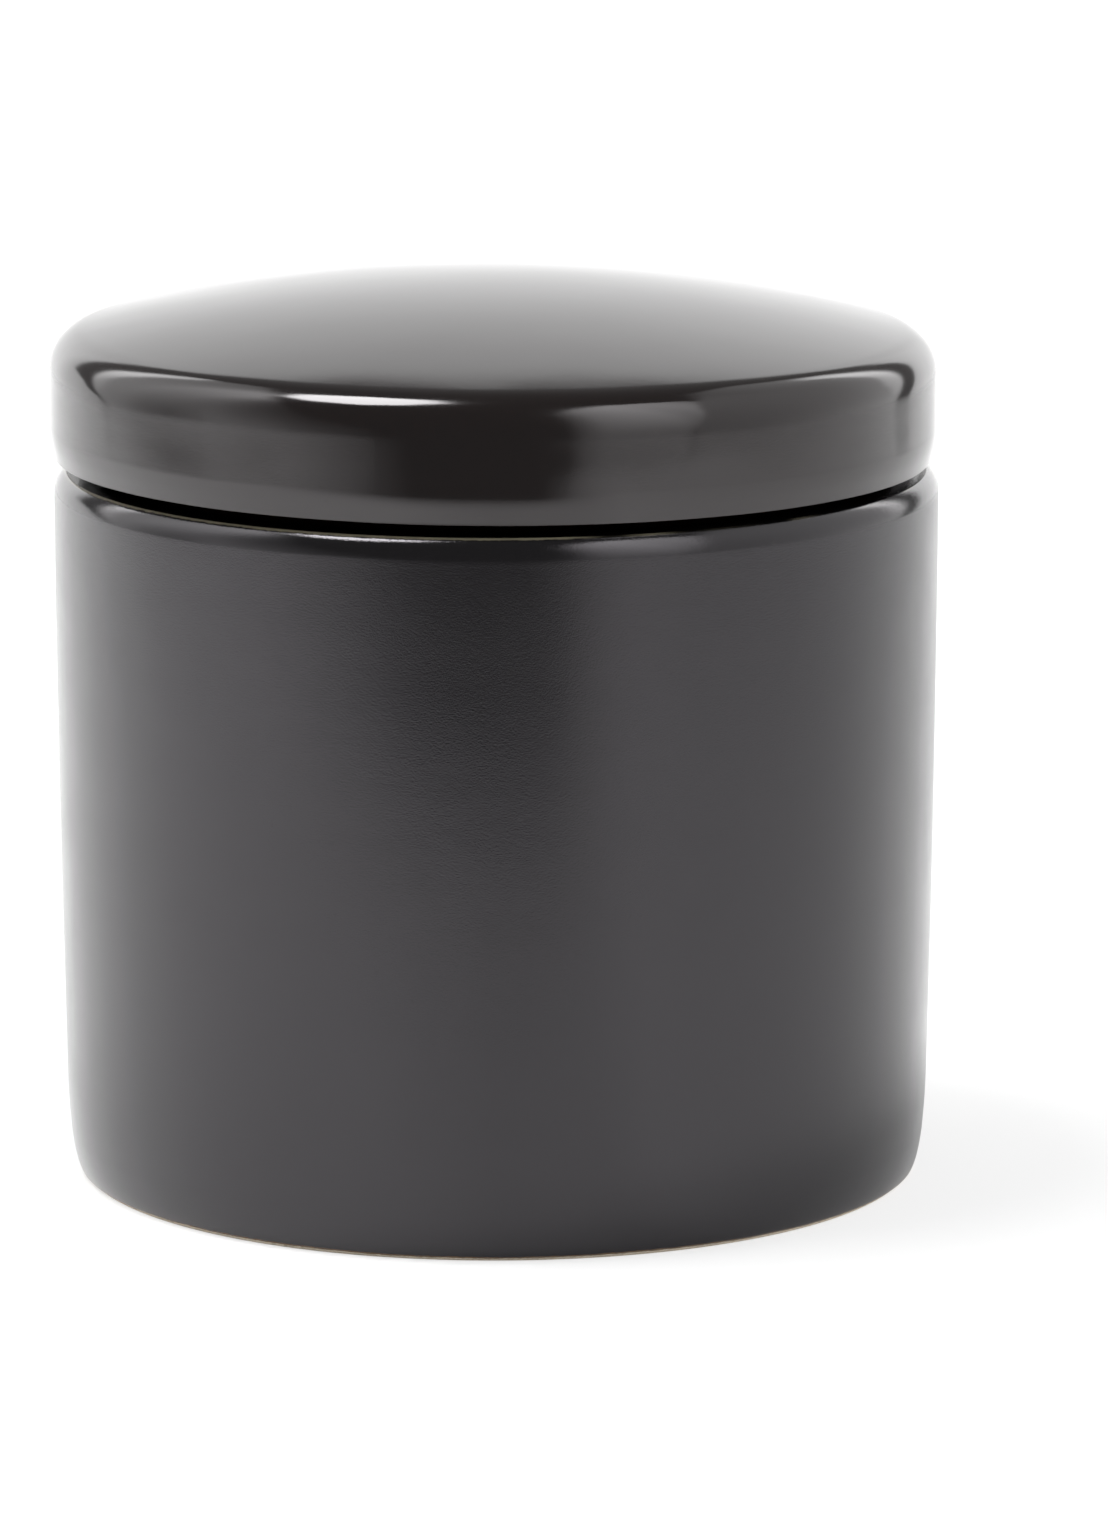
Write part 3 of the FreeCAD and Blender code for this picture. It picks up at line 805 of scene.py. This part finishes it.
def siliconeFinish():
    material, tree, shader, place = newFinish("frostedSilicone")
    cloud = noiseOf(tree, place, perMetre / 6.0, 3.0, 0.5, 21.0)
    grain = noiseOf(tree, place, perMetre / 0.4, 3.0, 0.6, 22.0)
    pale, shade = (0.74, 0.74, 0.72), (0.66, 0.66, 0.645)
    rough = fade(tree, grain, 0.3, 0.7, 0.38, 0.52)
    relief = bumpOf(tree, grain, 0.006 * mm)
    paint(tree, shader, blendColour(tree, cloud, pale, shade), rough, relief, {
        "IOR": 1.42, "Subsurface Weight": 0.5, "Subsurface Scale": 1.5 * mm,
        "Subsurface Radius": (1.0, 0.9, 0.8)})
    return material


def makeSeal():
    inner, back, fin = sealSet["inner"], sealSet["back"], sealSet["fin"]
    low, high, soft = sealSet["low"], sealSet["high"], sealSet["round"]
    corners = [(inner, (low + high) / 2), (inner, low, soft), (back, low, soft)]
    for bottom in (low + sealSet["inset"], high - sealSet["inset"] - sealSet["root"]):
        corners += [(back, bottom, 0.1), (fin, bottom + sealSet["rise"], 0.15),
                    (fin, bottom + sealSet["tip"], 0.2), (back, bottom + sealSet["root"], soft)]
    corners += [(back, high, soft), (inner, high, soft), (inner, (low + high) / 2)]
    line = fillIn(roundCorners(corners, 5), 0.8)
    seal = turnPiece("seal_ring", line, siliconeFinish(), 224, 0.03, 12.0, 14.0)
    finished(seal, "seal", "lid_seal")


makeSeal()


# Wax

waxSet = {
    "top": waxHigh[2] / mm, "wallGap": 0.02, "floorGap": 0.02,
    "creep": 0.9, "creepWidth": 1.0,            # up the wall
    "dip": 0.35, "dipWidth": 9.0,               # round the wick
    "neck": 1.8, "tabThick": 0.3,               # the wick tab's room in the wax
}


def waxFinish():
    # soy wax: soft sheen, faint frosting and slow hollows
    material, tree, shader, place = newFinish("creamSoyWax")
    slow = noiseOf(tree, place, perMetre / 18.0, 3.0, 0.5, 31.0)
    frost = noiseOf(tree, place, perMetre / 3.5, 6.0, 0.62, 32.0)
    grain = noiseOf(tree, place, perMetre / 0.5, 2.0, 0.5, 33.0)
    base = blendColour(tree, slow, (0.86, 0.80, 0.68), (0.83, 0.77, 0.65))
    base = blendColour(tree, fade(tree, frost, 0.55, 0.75), base, (0.90, 0.87, 0.79))
    rough = fade(tree, frost, 0.3, 0.7, 0.34, 0.52)
    relief = bumpOf(tree, grain, 0.006 * mm, bumpOf(tree, slow, 0.35 * mm))
    paint(tree, shader, base, rough, relief, {
        "IOR": 1.44, "Subsurface Weight": 0.6, "Subsurface Scale": 4 * mm,
        "Subsurface Radius": (1.0, 0.75, 0.5)})
    return material


def wellRadiusAt(height):
    # just inside the jar's inner wall, which widens upwards
    share = (height - jarSet["floor"]) / (jarSet["height"] - jarSet["floor"])
    return jarSet["wellRadius"] + share * (jarSet["mouth"] - jarSet["wellRadius"]) - waxSet["wallGap"]


def waxTopLine(outer, wick):
    # surface from the wall in to the wick: it creeps up the wall and sinks a little round the wick
    line = []
    steps = 70
    for step in range(steps + 1):
        radius = outer + (wick - outer) * step / steps
        creep = waxSet["creep"] * math.exp(-(outer - radius) / waxSet["creepWidth"])
        dip = waxSet["dip"] * math.exp(-((radius - wick) / waxSet["dipWidth"]) ** 2)
        line.append((radius, waxSet["top"] - waxSet["creep"] + creep - dip))
    return line


def makeWax():
    top = waxSet["top"]
    wick, tab, neck = wickHigh[0] / mm, tabHigh[0] / mm, waxSet["neck"]
    sticker, floor = stickerHigh[0] / mm, jarSet["floor"] + jarSet["floorCrown"] + waxSet["floorGap"]
    tabBottom, neckTop = tabLow[2] / mm, tabHigh[2] / mm
    tabTop = tabBottom + waxSet["tabThick"]
    surface = waxTopLine(wellRadiusAt(top), wick)
    corners = [
        (wick, neckTop), (neck, neckTop), (neck, tabTop), (tab, tabTop), (tab, tabBottom),
        (sticker, tabBottom), (sticker, floor), (wellRadiusAt(jarSet["floor"]), floor, jarSet["wellRound"]),
        surface[0],
    ]
    line = fillIn(roundCorners(corners, 10), 2.5) + surface[1:]
    line += fillIn([surface[-1], (wick, neckTop)], 3.0)[1:]
    wax = turnPiece("wax_fill", line, waxFinish(), 224)
    finished(wax, "jar", "wax")


makeWax()


# Wick: threads that run both ways round and pass over and under each other

threading, threadIn = newTree("braidedThreads", (
    ("Low", "Float"), ("High", "Float"), ("Points", "Int"), ("Each Way", "Int"), ("Ways", "Int"),
    ("Turns", "Float"), ("Middle Radius", "Float"), ("Weave", "Float"), ("Thread Radius", "Float"),
    ("Sides", "Int"), ("Finish", "Material"),
))


def buildThreading(tree, given):
    ends = [addNode(tree, "ShaderNodeCombineXYZ", {2: given[end]}).outputs[0] for end in ("Low", "High")]
    straight = addNode(tree, "GeometryNodeCurvePrimitiveLine", {"Start": ends[0], "End": ends[1]})
    inputs = {"Curve": straight.outputs[0], "Count": given["Points"]}
    fine = addNode(tree, "GeometryNodeResampleCurve", inputs)
    inputs = {"Geometry": fine.outputs[0], "Amount": calc(tree, "MULTIPLY", given["Each Way"], given["Ways"])}
    copies = addNode(tree, "GeometryNodeDuplicateElements", inputs, domain="SPLINE")
    number = copies.outputs["Duplicate Index"]
    along = addNode(tree, "GeometryNodeSplineParameter").outputs["Factor"]
    back = calc(tree, "GREATER_THAN", calc(tree, "ADD", number, 0.5), given["Each Way"])
    way = calc(tree, "MULTIPLY_ADD", back, -2.0, 1.0)
    wound = calc(tree, "MULTIPLY", along, calc(tree, "MULTIPLY", given["Turns"], math.tau))
    place = calc(tree, "DIVIDE", calc(tree, "MULTIPLY", number, math.tau), given["Each Way"])
    angle = calc(tree, "MULTIPLY_ADD", wound, way, place)
    over = calc(tree, "COSINE", calc(tree, "MULTIPLY", wound, given["Each Way"]))
    weave = calc(tree, "MULTIPLY", calc(tree, "MULTIPLY", over, way), given["Weave"])
    radius = calc(tree, "ADD", given["Middle Radius"], weave)
    spot = addNode(tree, "GeometryNodeInputPosition").outputs[0]
    height = addNode(tree, "ShaderNodeSeparateXYZ", {0: spot}).outputs[2]
    wrapped = addNode(tree, "ShaderNodeCombineXYZ", {
        0: calc(tree, "MULTIPLY", calc(tree, "COSINE", angle), radius),
        1: calc(tree, "MULTIPLY", calc(tree, "SINE", angle), radius), 2: height})
    inputs = {"Geometry": copies.outputs[0], "Position": wrapped.outputs[0]}
    moved = addNode(tree, "GeometryNodeSetPosition", inputs)
    inputs = {"Radius": given["Thread Radius"], "Resolution": given["Sides"]}
    ring = addNode(tree, "GeometryNodeCurvePrimitiveCircle", inputs)
    inputs = {"Curve": moved.outputs[0], "Profile Curve": ring.outputs[0], "Fill Caps": True}
    tubes = addNode(tree, "GeometryNodeCurveToMesh", inputs)
    endTree(tree, tubes.outputs[0], given["Finish"])


buildThreading(threading, threadIn)


def fibreFinish(name, pale, shade, size, sheen):
    # size: of the fibres, in millimetres, longer along the wick
    material, tree, shader, place = newFinish(name)
    stretch = addNode(tree, "ShaderNodeMapping", {"Vector": place, "Scale": (1, 1, 0.35)}).outputs[0]
    fibre = noiseOf(tree, stretch, perMetre / size, 4.0, 0.65, 41.0)
    waxed = noiseOf(tree, place, perMetre / 2.5, 2.0, 0.5, 42.0)
    rough = fade(tree, waxed, 0.35, 0.65, 0.45, 0.8)
    relief = bumpOf(tree, fibre, 0.03 * mm)
    paint(tree, shader, blendColour(tree, fibre, shade, pale), rough, relief, {"Sheen Weight": sheen})
    return material


def threadPiece(name, values, finish):
    holder = link(bpy.data.objects.new(name + "Threads", bpy.data.meshes.new(name + "Threads")))
    modifier = holder.modifiers.new("threads", "NODES")
    modifier.node_group = threading
    setInputs(modifier, dict(values, Finish=finish))
    return plainPiece(holder, name, finish)


# lengths here are in metres, as the tree takes them
braidSet = {
    "Low": wickLow[2], "High": wickHigh[2], "Points": 420, "Each Way": 6, "Ways": 2, "Turns": 8.0,
    "Middle Radius": 1.03 * mm, "Weave": 0.15 * mm, "Thread Radius": 0.30 * mm, "Sides": 7,
}
coreSet = {
    "Low": coreLow[2], "High": coreHigh[2], "Points": 240, "Each Way": 3, "Ways": 1, "Turns": 16.0,
    "Middle Radius": 0.29 * mm, "Weave": 0.0, "Thread Radius": 0.27 * mm, "Sides": 8,
}


def makeWick():
    cotton = fibreFinish("waxedCotton", (0.86, 0.83, 0.75), (0.66, 0.61, 0.50), 0.12, 0.25)
    paper = fibreFinish("twistedPaper", (0.80, 0.73, 0.60), (0.62, 0.54, 0.41), 0.18, 0.05)
    braid = threadPiece("wick_plait", braidSet, cotton)
    finished(braid, "jar", "wick_braid")
    core = threadPiece("wick_thread", coreSet, paper)
    finished(core, "jar", "wick_core")


makeWick()


# Wick tab and its sticker

tabSet = {
    "thick": 0.3, "bead": (7.6, 0.10), "beadHalf": 0.6, "neck": 1.8, "bore": 1.5,
    "crimps": 4, "crimpDepth": 0.16, "crimpHeight": (2.0, 4.6), "crimpReach": 2.2,
    "spin": 60.0,                               # marks of the spinning, in radians to the millimetre
}
stickerSet = {"cellSize": 0.25, "floorGap": 0.01}


def tinFinish():
    material, tree, shader, place = newFinish("brightTinPlate")
    radius = axisPlace(tree, place)[0]
    rings = calc(tree, "SINE", calc(tree, "MULTIPLY", radius, tabSet["spin"]))
    smear = noiseOf(tree, place, perMetre / 2.0, 4.0, 0.6, 51.0)
    fine = noiseOf(tree, place, perMetre / 0.15, 2.0, 0.5, 52.0)
    pale, shade = (0.66, 0.66, 0.64), (0.54, 0.54, 0.53)
    rough = fade(tree, smear, 0.3, 0.7, 0.2, 0.38)
    relief = bumpOf(tree, calc(tree, "MULTIPLY_ADD", rings, 0.3, fine), 0.002 * mm)
    paint(tree, shader, blendColour(tree, smear, pale, shade), rough, relief, {"Metallic": 1.0})
    return material


def foamFinish():
    material, tree, shader, place = newFinish("closedCellFoam")
    inputs = {"Vector": place, "Scale": perMetre / stickerSet["cellSize"]}
    cells = addNode(tree, "ShaderNodeTexVoronoi", inputs).outputs["Distance"]
    cloud = noiseOf(tree, place, perMetre / 4.0, 2.0, 0.5, 61.0)
    pale, shade = (0.88, 0.88, 0.86), (0.80, 0.80, 0.77)
    rough = fade(tree, cells, 0.0, 0.6, 0.6, 0.85)
    paint(tree, shader, blendColour(tree, cloud, pale, shade), rough, bumpOf(tree, cells, 0.03 * mm))
    return material


def makeTab():
    low, top, out = tabLow[2] / mm, tabHigh[2] / mm, tabHigh[0] / mm
    thick, neck, bore = tabSet["thick"], tabSet["neck"], tabSet["bore"]
    bead, beadRise = tabSet["bead"]
    beadIn, beadOut = bead - tabSet["beadHalf"], bead + tabSet["beadHalf"]
    corners = [
        (bore, top), (bore, low, 0.1), (beadIn, low), (bead, low + beadRise), (beadOut, low),
        (out, low, 0.12), (out, low + thick, 0.12), (beadOut, low + thick), (bead, low + thick + 0.02),
        (beadIn, low + thick), (neck, low + thick, 0.25), (neck, top, 0.1), (bore, top),
    ]
    line = fillIn(roundCorners(corners, 5), 0.5)
    tab = turnPiece("tab_plate", line, tinFinish(), 160)
    crimpLow, crimpHigh = [(low + thick + value) * mm for value in tabSet["crimpHeight"]]
    for vertex in tab.data.vertices:            # the neck is crimped on to the wick
        spot = vertex.co
        if crimpLow < spot.z < crimpHigh and spot.xy.length < tabSet["crimpReach"] * mm:
            turn = math.atan2(spot.y, spot.x)
            along = math.sin((spot.z - crimpLow) / (crimpHigh - crimpLow) * math.pi)
            press = tabSet["crimpDepth"] * mm * along * max(0.0, math.cos(tabSet["crimps"] * turn)) ** 2
            spot.xy *= 1 - press / spot.xy.length
    finished(tab, "jar", "wick_tab")


def makeSticker():
    low, high, out = stickerLow[2] / mm, stickerHigh[2] / mm, stickerHigh[0] / mm
    low += jarSet["floorCrown"] + stickerSet["floorGap"]        # clear of the crowned floor
    corners = [(0, low), (out, low, 0.15), (out, (low + high) / 2), (out, high, 0.15), (0, high)]
    line = fillIn(roundCorners(corners, 5), 0.6)
    dot = turnPiece("sticker_dot", line, foamFinish(), 128, 0.08, 3.0, 62.0)
    finished(dot, "jar", "wick_sticker")


makeTab()
makeSticker()
